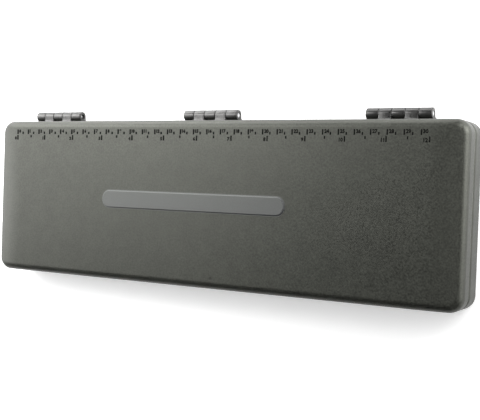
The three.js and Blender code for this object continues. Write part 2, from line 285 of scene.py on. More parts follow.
class Bench:
    """One material and its nodes."""

    def __init__(self, name: str) -> None:
        """Starts a material with one principled shader.

        Args:
            name: The material's name.
        """
        self.material = bpy.data.materials.new(name)
        self.material.use_nodes = True
        self.tree = self.material.node_tree
        self.tree.nodes.clear()
        self.shader = self.tree.nodes.new("ShaderNodeBsdfPrincipled")
        self.fill(self.tree.nodes.new("ShaderNodeOutputMaterial"), {"Surface": self.shader.outputs["BSDF"]})
        self.places = self.tree.nodes.new("ShaderNodeTexCoord").outputs["Object"]

    def fill(self, node: bpy.types.Node, inputs: Inputs) -> None:
        """Gives a node its inputs: a socket is linked, and a plain value is set.

        Args:
            node: The node.
            inputs: The sockets and values, by the input's name or number.
        """
        for name, value in inputs.items():
            if isinstance(value, Socket):
                self.tree.links.new(value, node.inputs[name])
            else:
                node.inputs[name].default_value = value

    def node(self, kind: str, output: str | int, inputs: Inputs, **settings: str) -> Socket:
        """Adds a node.

        Args:
            kind: Its type.
            output: The name or number of the output that is wanted.
            inputs: Its sockets and values, by the input's name or number.
            settings: Its settings, by attribute name.

        Returns:
            The output.
        """
        made = self.tree.nodes.new(kind)
        for name, value in settings.items():
            setattr(made, name, value)
        self.fill(made, inputs)
        return made.outputs[output]

    def mapped(self, scale: Place, shift: Place = (0, 0, 0)) -> Socket:
        """Returns the object's own coordinates, scaled along each axis and then moved."""
        return self.node("ShaderNodeMapping", "Vector", {"Vector": self.places, "Scale": scale, "Location": shift})

    def distance(self, places: Socket) -> Socket:
        """Returns how far coordinates lie from their zero point."""
        return self.node("ShaderNodeVectorMath", "Value", {0: places}, operation="LENGTH")

    def noise(self, size: float, detail: float, places: Socket | None = None) -> Socket:
        """Returns noise about 0.5, with blobs of a size in millimetres and a number of finer layers."""
        inputs = {"Scale": 1 / (size * MM), "Detail": detail, "Vector": places or self.places}
        return self.node("ShaderNodeTexNoise", "Fac", inputs)

    def spread(self, source: Socket, span: Pair, result: Pair) -> Socket:
        """Returns a value mapped from one range to another, stopped at its ends."""
        ends = zip(("From Min", "From Max", "To Min", "To Max"), (*span, *result))
        return self.node("ShaderNodeMapRange", "Result", {"Value": source, **dict(ends)})

    def sum(self, first: Socket, second: Socket, share: float) -> Socket:
        """Returns one value plus a share of another."""
        return self.node("ShaderNodeMath", "Value", {0: second, 1: share, 2: first}, operation="MULTIPLY_ADD")

    def dish(self, middle: Pair, radius: float, floor: float) -> Socket:
        """A round dish seen along Z, 1 on its floor and 0 outside its radius.

        Args:
            middle: Its X and Y, in millimetres.
            radius: Its radius, in millimetres.
            floor: The floor's share of the radius.

        Returns:
            The dish.
        """
        scale = 1 / (radius * MM)
        places = self.mapped((scale, scale, 0), (-middle[0] / radius, -middle[1] / radius, 0))
        return self.spread(self.distance(places), (floor, 1), (1, 0))

    def tint(self, source: Socket, colour: Colour, shades: Pair) -> None:
        """Sets the base colour between two shades of a colour by a value.

        Args:
            source: The value, from 0 to 1.
            colour: The colour.
            shades: What it is multiplied by at 0 and at 1.
        """
        low, high = ((*(part * shade for part in colour), 1) for shade in shades)
        inputs = {"Factor": source, MIX_LOW: low, MIX_HIGH: high}
        self.dress({"Base Color": self.node("ShaderNodeMix", MIX_RESULT, inputs, data_type="RGBA")})

    def relief(self, height: Socket, depth: float) -> None:
        """Bends the shading as if the surface rose by a height, from 0 to 1, times a depth in millimetres."""
        self.dress({"Normal": self.node("ShaderNodeBump", "Normal", {"Height": height, "Distance": depth * MM})})

    def dress(self, inputs: Inputs) -> None:
        """Gives the shader some of its inputs."""
        self.fill(self.shader, inputs)


@dataclass(frozen=True)
class Moulded:
    """Moulded plastic with a fine eroded grain, faint clouds in its colour and a dull shine.

    A gate is the dish that is left where the plastic was fed into the mould.
    """

    name: str
    colour: Colour
    roughness: float
    roughness_swing: float = 0.07
    shine: float = 0.5
    shine_tint: Colour = (0.975, 1, 0.885)
    grain: float = 0.35
    grain_depth: float = 0.012
    speckle: float = 1.1
    speckle_share: float = 4.5
    cloud: float = 9.0
    cloud_span: Pair = (0.35, 0.65)
    cloud_share: float = 0.2
    contrast: float = 0.65
    gate: Pair | None = None
    gate_radius: float = 1.2
    gate_floor: float = 0.55
    gate_depth: float = 6
    gate_shade: float = 1.2

    def make(self) -> Material:
        """Builds the material from noise of three sizes, for grain, speckle and clouds.

        Returns:
            The material.
        """
        bench = Bench(self.name)
        speckle = bench.noise(self.speckle, 2)
        height = bench.sum(bench.noise(self.grain, 2), speckle, self.speckle_share)
        clouds = bench.spread(bench.noise(self.cloud, 3), self.cloud_span, (0, self.cloud_share))
        tone = bench.sum(clouds, bench.spread(speckle, NOISE_SPAN, (0, 1)), 1 - self.cloud_share)
        if self.gate:
            dish = bench.dish(self.gate, self.gate_radius, self.gate_floor)
            height = bench.sum(height, dish, -self.gate_depth)
            tone = bench.sum(tone, dish, -self.gate_shade)
        bench.tint(tone, self.colour, (1 - self.contrast, 1 + self.contrast))
        bench.relief(height, self.grain_depth)
        swing = (self.roughness - self.roughness_swing, self.roughness + self.roughness_swing)
        bench.dress({
            "Roughness": bench.spread(speckle, NOISE_SPAN, swing),
            "Specular IOR Level": self.shine,
            "Specular Tint": (*self.shine_tint, 1),
        })
        return bench.material


@dataclass(frozen=True)
class Foam:
    """Closed-cell foam: small round cells cut open at the surface, dull and nearly black."""

    name: str
    colour: Colour
    shades: Pair = (0.6, 1.5)
    cell: float = 0.7
    cell_span: Pair = (0, 0.8)
    cell_tone: Pair = (0.1, 0.7)
    depth: float = 0.08
    patch: float = 14
    patch_share: float = 0.3
    roughness: float = 0.92
    shine: float = 0.25

    def make(self) -> Material:
        """Builds the material from the distance to the middle of each cell.

        Returns:
            The material.
        """
        bench = Bench(self.name)
        cells = {"Scale": 1 / (self.cell * MM), "Vector": bench.places}
        rise = bench.node("ShaderNodeTexVoronoi", "Distance", cells)
        patch = bench.noise(self.patch, 3)
        tone = bench.sum(bench.spread(rise, self.cell_span, self.cell_tone), patch, self.patch_share)
        bench.tint(tone, self.colour, self.shades)
        bench.dress({"Roughness": self.roughness, "Specular IOR Level": self.shine})
        bench.relief(rise, self.depth)
        return bench.material


@dataclass(frozen=True)
class BrightMetal:
    """Steel with fine lines along one axis and small differences in its shine."""

    name: str
    colour: Colour
    roughness: float
    roughness_fall: float = 0.05
    roughness_rise: float = 0.07
    shades: Pair = (0.86, 1.06)
    lines: Place = (1, 1, 1)
    line_size: float = 0.12
    line_depth: float = 0.004
    stain: float = 3
    stain_share: float = 0.4

    def make(self) -> Material:
        """Builds the material from noise drawn out along the lines.

        Returns:
            The material.
        """
        bench = Bench(self.name)
        drawn = bench.noise(self.line_size, 2, bench.mapped(self.lines))
        lines = bench.spread(drawn, NOISE_SPAN, (0, 1 - self.stain_share))
        bench.tint(bench.sum(lines, bench.noise(self.stain, 2), self.stain_share), self.colour, self.shades)
        bench.relief(drawn, self.line_depth)
        swing = (self.roughness - self.roughness_fall, self.roughness + self.roughness_rise)
        bench.dress({"Roughness": bench.spread(drawn, NOISE_SPAN, swing), "Metallic": 1})
        return bench.material


@dataclass(frozen=True)
class Ink:
    """Dull black print with small thin places."""

    name: str
    colour: Colour
    shades: Pair = (1, 2.2)
    patch: float = 0.6
    patch_span: Pair = (0.35, 0.75)
    depth: float = 0.006
    roughness: float = 0.9
    shine: float = 0.06

    def make(self) -> Material:
        """Builds the material.

        Returns:
            The material.
        """
        bench = Bench(self.name)
        thin = bench.noise(self.patch, 3)
        bench.tint(bench.spread(thin, self.patch_span, (0, 1)), self.colour, self.shades)
        bench.dress({"Roughness": self.roughness, "Specular IOR Level": self.shine})
        bench.relief(thin, self.depth)
        return bench.material


@dataclass(frozen=True)
class Paper:
    """The studio's pale floor: matt paper with very faint clouds, lit from below where the softboxes don't reach."""

    name: str
    colour: Colour
    shades: Pair = (0.99, 1)
    cloud: float = 60
    roughness: float = 0.9
    shine: float = 0.1
    glow: Pair = (0.42, 1)
    glow_span: Pair = (230, 560)

    def make(self) -> Material:
        """Builds the material, whose glow rises with the distance from the middle of the floor.

        Returns:
            The material.
        """
        bench = Bench(self.name)
        bench.tint(bench.noise(self.cloud, 2), self.colour, self.shades)
        start, full = self.glow_span
        bench.dress({
            "Roughness": self.roughness,
            "Specular IOR Level": self.shine,
            "Emission Color": (1, 1, 1, 1),
            "Emission Strength": bench.spread(bench.distance(bench.places), (start * MM, full * MM), self.glow),
        })
        return bench.material


class Finish(Enum):
    """Every finish of the box, and the floor's."""

    SHELL = Moulded("shell_grain", OLIVE, 0.45, gate=(12, -46.7))
    PLATE = Moulded("plate_satin", (0.062, 0.064, 0.067), 0.42, grain_depth=0.003, contrast=0.08)
    INSIDE = Moulded("inside_satin", OLIVE, 0.4, grain_depth=0.003, contrast=0.08)
    # The knuckles are the shell's own plastic with a smoother satin surface. Their colour, about half the shell's, is
    # painted shade for the deep shadow under and between the barrels.
    KNUCKLE = Moulded(
        "knuckle_satin_painted_shade", (0.009, 0.009, 0.0088), 0.33, shine=0.65, shine_tint=(1, 0.99, 0.97),
        grain_depth=0.003, speckle_share=0.3, contrast=0.1,
    )
    RACK = Moulded("rack_black", (0.02, 0.021, 0.021), 0.42, grain_depth=0.004)
    HEAD = Moulded("head_green", (0.07, 0.078, 0.055), 0.45, grain_depth=0.004)
    FOAM = Foam("foam_black", (0.014, 0.015, 0.016))
    ROD = BrightMetal("rod_steel", (0.62, 0.62, 0.63), 0.28, lines=(0.05, 1, 1))
    NEEDLE = BrightMetal("needle_steel", (0.65, 0.65, 0.66), 0.22, lines=(1, 1, 0.05))
    SCREW = BrightMetal("screw_zinc", (0.6, 0.61, 0.63), 0.32)
    MAGNET = BrightMetal("magnet_nickel", (0.55, 0.54, 0.52), 0.2, lines=(0.2, 1, 1))
    INK = Ink("ruler_black", (0.004, 0.004, 0.0035))
    PAPER = Paper("floor_paper", (0.9, 0.9, 0.9))

    @cache
    def material(self) -> Material:
        """Returns the finish's material, which is built when it is first asked for."""
        return self.value.make()


# ---- Meshes ----


def put_in_scene(name: str, data: bpy.types.ID) -> Piece:
    """Makes an object in the scene.

    Args:
        name: Its name.
        data: The mesh, light or camera that it holds.

    Returns:
        The object.
    """
    made = bpy.data.objects.new(name, data)
    bpy.context.scene.collection.objects.link(made)
    return made


@dataclass
class Draft:
    """Closed shapes in millimetres that become one mesh. Each has the draft's finish unless it is given its own."""

    finish: Finish
    points: list[Array] = field(default_factory=list)
    faces: list[list[int]] = field(default_factory=list)
    coats: list[Finish] = field(default_factory=list)

    def add(self, points: Array, faces: list[list[int]], finish: Finish | None = None) -> None:
        """Adds a shape.

        Args:
            points: Its points.
            faces: Its faces, as numbers into those points.
            finish: Its own finish.
        """
        first = sum(len(part) for part in self.points)
        self.points.append(points.reshape(-1, 3))
        self.faces += [[first + corner for corner in face] for face in faces]
        self.coats += [finish or self.finish] * len(faces)

    def add_rings(
        self, rings: Array, finish: Finish | None = None, top: bool = True, bottom: bool = True, loop: bool = False,
    ) -> None:
        """Adds a stack of rings with a face between neighbours.

        Args:
            rings: Rows by points by three.
            finish: The stack's own finish.
            top: Whether the first ring is closed with a flat face.
            bottom: Whether the last one is.
            loop: Whether the last ring joins the first instead, as on a solid with a hole through it.
        """
        rows, count = rings.shape[:2]
        here = np.arange(count)
        beside = (here + 1) % count
        row = np.arange(rows if loop else rows - 1)[:, None]
        below = (row + 1) % rows
        corners = [row * count + here, below * count + here, below * count + beside, row * count + beside]
        faces = np.stack(corners, axis=-1).reshape(-1, 4).tolist()
        if top and not loop:
            faces.append(list(range(count)))
        if bottom and not loop:
            faces.append(list(range(rows * count - 1, (rows - 1) * count - 1, -1)))
        self.add(rings, faces, finish)

    def add_flat(self, loops: Sequence[Array], height: float) -> None:
        """Fills a level face between an outline and the holes in it.

        Args:
            loops: The outline and the holes, each an array of two columns.
            height: The face's height.
        """
        flat = np.concatenate(loops)
        fill = np.array(geometry.tessellate_polygon([np.pad(loop, ((0, 0), (0, 1))).tolist() for loop in loops]))
        a, b, c = flat[fill[:, 0]], flat[fill[:, 1]], flat[fill[:, 2]]
        side = (b[:, 0] - a[:, 0]) * (c[:, 1] - a[:, 1]) - (b[:, 1] - a[:, 1]) * (c[:, 0] - a[:, 0])
        fill[side < 0] = fill[side < 0][:, ::-1]
        self.add(np.column_stack([flat, np.full(len(flat), height)]), fill.tolist())

    def build(self, name: str, sharp: float = SHARP_ANGLE) -> Piece:
        """Makes the object, with smooth shading up to an angle.

        Args:
            name: The piece's name.
            sharp: Faces that meet at more than this angle, in degrees, keep a crisp edge.

        Returns:
            The new object, in the scene.
        """
        mesh = bpy.data.meshes.new(name)
        mesh.from_pydata((np.concatenate(self.points) * MM).tolist(), [], self.faces)
        used = list(dict.fromkeys([self.finish, *self.coats]))
        mesh.polygons.foreach_set("material_index", [used.index(coat) for coat in self.coats])
        for coat in used:
            mesh.materials.append(coat.material())
        welded = bmesh.new()
        welded.from_mesh(mesh)
        bmesh.ops.remove_doubles(welded, verts=welded.verts, dist=WELD)
        welded.to_mesh(mesh)
        welded.free()
        mesh.shade_smooth()
        mesh.set_sharp_from_angle(angle=math.radians(sharp))
        return put_in_scene(name, mesh)


def settle(piece: Piece, body: str, slot: str, *nodes: str) -> None:
    """Puts a finished piece on its body and reports it.

    Args:
        piece: The piece.
        body: The body that it moves with.
        slot: Not used.
        nodes: The frame's nodes that it stands for.
    """
    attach(piece, body)
    if nodes:
        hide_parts(*nodes)
    log.info("%s: %d faces on %s", piece.name, len(piece.data.polygons), body)


def build_one(
    rings: Array, finish: Finish, word: str, body: str, slot: str, node: str, sharp: float = SHARP_ANGLE,
) -> None:
    """Makes a piece from one stack of rings, puts it on its body and lets it stand for a node.

    Args:
        rings: The stack.
        finish: Its finish.
        word: What follows the node's name in the piece's name.
        body: The body that it moves with.
        slot: Not used; settle ignores it.
        node: The node.
        sharp: Faces that meet at more than this angle, in degrees, keep a crisp edge.
    """
    draft = Draft(finish)
    draft.add_rings(rings)
    settle(draft.build(f"{node}_{word}", sharp), body, slot, node)


# ---- The case ----


@dataclass(frozen=True)
class Case:
    """Sizes that several pieces share, in millimetres."""

    length: float = 344
    width: float = 107
    corner: float = 8.5
    wall: float = 2.4
    parting: float = 15
    half_gap: float = 0.15
    top: float = 30
    floor: float = 2
    roof: float = 27.8
    rim_gap: float = 0.22
    rim_edge: Pair = (1.0, 2.2)
    rigs: int = 20
    rig_pitch: float = 4.4
    screw_place: Pair = (-163.1, 38)
    rounds: Rounds = Rounds(long_steps=60, short_steps=12, corner_steps=16)

    def rows(self, profile: Array) -> Array:
        """Returns rows of rounded rectangles for a profile of insets from the case's outline."""
        return inset_rows((self.length, self.width), self.corner, profile)


@dataclass(frozen=True)
class Hinges:
    """The knuckles of both halves, which run along X round one axis, and the pins through them."""

    case: Case
    offset: float = 127.4
    axis_y: float = 57.3
    barrel: float = 3.48
    pitch: float = 8.1
    gap: float = 0.3
    knuckles: int = 5
    fillet: float = 1.6
    flare: float = 1.0
    edge: float = 0.25
    outer_edge: float = 0.5
    bore: float = 1.6
    bore_lead: float = 0.15
    blind: float = 1.5
    pin: float = 1.5
    pin_edge: float = 0.3
    pin_dish: float = 0.1
    pin_dish_radii: tuple[float, float, float] = (0.15, 0.7, 1.0)
    pin_end_gaps: tuple[float, float, float] = (1.5, 0.3, 0.3)

    def section(self, half: Half) -> Array:
        """Outline of a knuckle in Y and Z: a barrel, an arm beside the parting line and a fillet up the wall.

        Args:
            half: Which half the knuckle belongs to.

        Returns:
            Anticlockwise points. The base's are the lid's mirrored at the parting line.
        """
        wall_y = self.case.width / 2
        middle = self.case.parting
        root_y = wall_y - self.case.wall / 2
        dip = math.degrees(math.asin(self.case.half_gap / self.barrel))
        crest = middle + self.barrel
        hollow = (wall_y + self.fillet, crest + self.fillet)
        points = chain(
            [(root_y, middle + self.case.half_gap + 0.1)],
            arc((self.axis_y, middle), self.barrel, 180 - dip, 450, 60),
            [(self.axis_y - 0.3, crest), (hollow[0] + 0.2, crest)],
            arc(hollow, self.fillet, 270, 180, 10),
            [(root_y, crest + self.fillet)],
        )
        if half is Half.BASE:
            points = points[::-1] * (1, -1) + (0, 2 * middle)
        return points

    def start(self, place: Position, index: int) -> float:
        """Returns where a knuckle starts along X."""
        centre = place.value * self.offset
        return centre + (index - self.knuckles / 2) * self.pitch + self.gap / 2

    def knuckle(self, half: Half, place: Position, index: int) -> Array:
        """One knuckle: its section carried along X with rounded ends, and its bore, which is blind in the first one.

        Where the arm meets the wall it grows wider by a quarter hollow: flare minus the root of flare squared minus
        the rest of the way to the wall squared.

        Args:
            half: Which half it belongs to.
            place: Which hinge it is on.
            index: Its number in the hinge.

        Returns:
            The rings.
        """
        low = self.start(place, index)
        high = low + self.pitch - self.gap
        outline = self.section(half)
        centre = np.array([self.axis_y, self.case.parting])
        ray = outline - centre
        ray = ray / np.linalg.norm(ray, axis=1, keepdims=True)
        low_edge = self.outer_edge if index == 0 else self.edge
        high_edge = self.outer_edge if index == self.knuckles - 1 else self.edge
        body = carried(outline, slab(high, low, (high_edge, low_edge), (4, 4)))

        def bored(radius: float, height: float) -> Array:
            """Returns a ring of the bore."""
            flat = centre + radius * ray
            return np.column_stack([flat, np.full(len(flat), height)])[None]

        lead = self.bore_lead
        mouth = [bored(self.bore, high - lead), bored(self.bore + lead, high)]
        if index == 0:
            rings = np.concatenate([bored(self.bore, low + self.blind), *mouth, body])
        else:
            tail = [bored(self.bore + lead, low), bored(self.bore, low + lead)]
            rings = np.concatenate([mouth[1], body, *tail, mouth[0]])
        near = np.clip(rings[..., 0] - self.case.width / 2, 0, self.flare)
        wider = self.flare - np.sqrt(self.flare**2 - (self.flare - near) ** 2)
        away = half.value * (rings[..., 1] - self.case.parting) - self.case.half_gap
        rings[..., 2] += np.sign(rings[..., 2] - (low + high) / 2) * wider * smooth_step(0, 1, away)
        return along_x(rings)

    def add_knuckles(self, draft: Draft, half: Half) -> None:
        """Adds one half's knuckles to its mesh: the odd ones are the lid's and the even ones the base's.

        Args:
            draft: The half's mesh.
            half: Which half it is.
        """
        for place in Position:
            for index in range(1 if half is Half.LID else 0, self.knuckles, 2):
                draft.add_rings(self.knuckle(half, place, index), Finish.KNUCKLE, loop=index != 0)

    def build_pins(self) -> None:
        """Makes the three pins: rods with a rounded, slightly dished end."""
        edge, inner = self.pin_edge, self.pin - self.pin_edge
        middle, floor, rim = self.pin_dish_radii
        for place in Position:
            low = self.start(place, 0) + self.blind + min(self.pin_end_gaps)
            high = self.start(place, self.knuckles) - self.gap - self.pin_end_gaps[place.value + 1]
            rod = chain(
                [(middle, high - self.pin_dish), (floor, high - self.pin_dish), (rim, high)],
                arc((inner, high - edge), edge, 90, 0, 5),
                [(self.pin, (low + high) / 2)],
                arc((inner, low + edge), edge, 0, -90, 5),
                [(0.3, low)],
            )
            rings = along_x(lathe(rod, 40)) + (0, self.axis_y, self.case.parting)
            build_one(rings, Finish.ROD, "rod", "base", "hinge_steel", f"hinge_pin_{place.name.lower()}")


@dataclass(frozen=True)
class Magnets:
    """Three pairs of closing magnets along the front, in bosses of both halves."""

    case: Case
    offset: float = 100
    middle_y: float = -47.9
    length: float = 20
    width: float = 4
    height: float = 3
    corner: float = 0.9
    edge: float = 0.35
    flat_inset: float = 0.8
    wall: float = 1.2
    clearance: float = 0.15
    seat: float = 0.1
    pocket_corner: float = 0.3
    pocket_lead: float = 0.2
    boss_corner: float = 0.6
    boss_edge: float = 0.3
    rounds: Rounds = Rounds(long_steps=6, short_steps=3, corner_steps=6)

    def boss(self, place: Position, foot: float) -> Array:
        """A block with a pocket in its top, for the base.

        Args:
            place: Where it stands.
            foot: Height that its sides start from, inside the floor.

        Returns:
            The rings, from the pocket's floor up, over the edge and down the outside.
        """
        top = self.case.parting - self.case.half_gap
        pit = top - self.height - 2 * self.seat
        middle = (place.value * self.offset, self.middle_y)
        side, lead, edge = -self.clearance, self.pocket_lead, self.boss_edge
        pocket = chain([(side, pit), (side, top - lead), (side - lead, top)])
        inner = inset_rows((self.length, self.width), self.pocket_corner, pocket, middle)
        outside = chain(arc((edge, top - edge), edge, 90, 180, 4), [(0, foot)])
        size = (self.length + 2 * self.wall, self.width + 2 * self.wall)
        return self.rounds.stack(np.concatenate([inner, inset_rows(size, self.boss_corner, outside, middle)]))

    def add_bosses(self, draft: Draft, half: Half) -> None:
        """Adds one half's bosses. The lid's are the base's, turned half round the parting line.

        Args:
            draft: The half's mesh.
            half: Which half it is.
        """
        foot = self.case.floor / 2 if half is Half.BASE else 2 * self.case.parting - self.case.roof - 1
        for place in Position:
            rings = self.boss(place, foot)
            if half is Half.LID:
                rings = rings * (1, -1, -1) + (0, 2 * self.middle_y, 2 * self.case.parting)
            draft.add_rings(rings)

    def build(self) -> None:
        """Makes the six magnets: plated blocks with rounded edges."""
        flat = self.flat_inset
        for half in Half:
            seat = self.case.half_gap + self.seat
            low = self.case.parting + (seat if half is Half.LID else -seat - self.height)
            high = low + self.height
            side = chain([(flat, high)], slab(high, low, (self.edge, self.edge), (5, 5)), [(flat, low)])
            body = half.name.lower()
            for place in Position:
                middle = (place.value * self.offset, self.middle_y)
                rings = self.rounds.block((self.length, self.width), self.corner, side, middle)
                node = f"{body}_magnet_{place.name.lower()}"
                build_one(rings, Finish.MAGNET, "block", body, "magnet_steel", node)


@dataclass(frozen=True)
class Lid:
    """The lid: a flat-topped tray with rounded edges, whose top falls towards both ends, and a blank raised plate."""

    case: Case
    hinges: Hinges
    magnets: Magnets
    edge: float = 5
    inner_edge: float = 2.6
    fall_start: float = 150
    fall_length: float = 17
    fall_depth: float = 2
    fall_foot: float = 18.5
    fall_steps: int = 60
    roof_rows: int = 13
    roof_band: float = 8
    plate_length: float = 137
    plate_width: float = 11
    plate_corner: float = 5.1
    plate_rise: float = 0.8
    plate_edge: float = 0.3
    plate_hollow: float = 0.25
    plate_place: Pair = (-6.5, 0.8)
    rebate_inset: float = 1.15
    rebate_top: float = 16.55
    ejector_radius: float = 3.2
    ejector_rise: float = 0.12
    ejector_x: tuple[float, ...] = (-140, -50, 50, 140)
    ejector_y: tuple[float, ...] = (-30, 30)

    def fallen(self, x: Array, height: Array, edge: float, crest: float) -> Array:
        """How far the roof has dropped, fading to nothing down the wall.

        The centre of the edge's circle moves along X by a share of the fall's length and sinks by its depth times the
        square of the share. The roof touches every such circle, at the angle of the centre's path there.

        Args:
            x: Places along the case.
            height: Heights above the base's underside.
            edge: Radius of the rounded edge.
            crest: Height of the level roof.

        Returns:
            The drop at each place.
        """
        share = np.linspace(0, 1, self.fall_steps)
        angle = np.arctan(2 * self.fall_depth * share / self.fall_length)
        place = self.fall_start + self.fall_length * share + edge * np.sin(angle)
        sunk = crest - edge - self.fall_depth * share**2 + edge * np.cos(angle)
        past = np.clip(place - self.fall_start - self.fall_length, 0, edge)
        drop = crest - edge + np.sqrt(edge**2 - past**2) - sunk
        fade = np.clip((height - self.fall_foot) / (crest - edge - self.fall_foot), 0, 1)
        return np.interp(np.abs(x), place, drop) * fade

    def sloped(self, rows: Array, edge: float, crest: float) -> Array:
        """Makes the rings of a table of level rows and lets them fall towards the ends.

        Args:
            rows: The table's rows.
            edge: Radius of the rounded edge.
            crest: Height of the level roof.

        Returns:
            The rings.
        """
        rings = self.case.rounds.stack(rows)
        rings[..., 2] -= self.fallen(rings[..., 0], rings[..., 2], edge, crest)
        return rings

    def surface(self, x: Array, y: Array) -> Array:
        """Height of the lid's top: level, falling towards the ends, and along a circle at the long edges.

        Args:
            x: Places along the case.
            y: Places across it.

        Returns:
            The height at each place.
        """
        past = np.clip(np.abs(y) - (self.case.width / 2 - self.edge), 0, self.edge)
        level = self.case.top - self.edge + np.sqrt(self.edge**2 - past**2)
        return level - self.fallen(x, level, self.edge, self.case.top)

    def plate(self) -> Array:
        """The raised plate, from its level top over a rounded edge to a hollow at its foot.

        Returns:
            The rings.
        """
        ground = self.case.top
        top, edge, hollow = ground + self.plate_rise, self.plate_edge, self.plate_hollow
        profile = chain(
            [(1.6, top), (0.7, top)],
            arc((edge, top - edge), edge, 90, 180, 5),
            arc((-hollow, ground + hollow), hollow, 0, -90, 4),
            [(-0.8, ground)],
        )
        size = (self.plate_length, self.plate_width)
        return self.case.rounds.block(size, self.plate_corner, profile, self.plate_place)

    def roof(self, inset: float, height: float) -> Array:
        """Rows of level rectangles, from where the fall starts out to an inset from the case's outline.

        Args:
            inset: The last row's inset.
            height: The rows' height.

        Returns:
            The table's rows, from the middle outwards.
        """
        share = np.linspace(0, 1, self.roof_rows)
        inner_x = self.fall_start - 1
        half_x = inner_x + share * (self.case.length / 2 - inset - inner_x)
        half_y = self.case.width / 2 - inset + (share - 1) * self.roof_band
        return np.column_stack([half_x, half_y, np.tile([self.case.corner - inset, height, 0, 0], (share.size, 1))])

    def outside(self) -> Array:
        """The roof from round the plate to the edge, the side, and the rim rounded by a quarter ellipse.

        Returns:
            The rings, down to the rebate.
        """
        top, rim = self.case.top, self.case.parting + self.case.rim_gap
        edge, rebate = self.case.rim_edge, self.rebate_inset
        side = chain(
            arc((self.edge, top - self.edge), self.edge, 90, 180, 18),
            [(0, top - self.edge - 0.6), (0, 21), (0, self.fall_foot), (0, rim + edge[1] + 0.3)],
            arc((1, 1), 1, 180, 270, 8) * edge + (0, rim),
            [(rebate - 0.1, rim), (rebate, rim + 0.1)],
        )
        return self.sloped(np.concatenate([self.roof(self.edge + 0.6, top), self.case.rows(side)]), self.edge, top)

    def inside(self) -> Array:
        """The rebate, the inner wall and the ceiling, which falls with the roof.

        Returns:
            The rings, up to the ceiling's middle.
        """
        wall, ceiling, edge, rebate = self.case.wall, self.case.roof, self.inner_edge, self.rebate_top
        profile = chain(
            [(self.rebate_inset, rebate), (wall - 0.15, rebate), (wall, rebate + 0.15), (wall, rebate + 0.8)],
            arc((wall + edge, ceiling - edge), edge, 180, 90, 12),
        )
        level = self.roof(wall + edge + 0.6, ceiling)[::-1]
        return self.sloped(np.concatenate([self.case.rows(profile), level]), edge, ceiling)

    def add_ejector_marks(self, draft: Draft) -> None:
        """Adds the low round marks that the mould's ejectors leave on the ceiling.

        Args:
            draft: The lid's mesh.
        """
        radius, root, low = self.ejector_radius, self.case.roof + 0.3, self.case.roof - self.ejector_rise
        disc = chain([(0.5, root), (radius, root), (radius, low + 0.05), (radius - 0.05, low), (0.5, low)])
        rings = lathe(disc, 40)
        for x in self.ejector_x:
            for y in self.ejector_y:
                draft.add_rings(rings + (x, y, 0), Finish.INSIDE)

    def build(self) -> None:
        """Makes the lid in one mesh."""
        draft = Draft(Finish.SHELL)
        plate, outside, inside = self.plate(), self.outside(), self.inside()
        draft.add_rings(plate, Finish.PLATE, bottom=False)
        draft.add_rings(np.concatenate([plate[-1:], outside]), top=False, bottom=False)
        draft.add_rings(np.concatenate([outside[-1:], inside]), Finish.INSIDE, top=False)
        self.hinges.add_knuckles(draft, Half.LID)
        self.magnets.add_bosses(draft, Half.LID)
        self.add_ejector_marks(draft)
        settle(draft.build("lid_case"), "lid", "shell_plastic", "lid_shell")


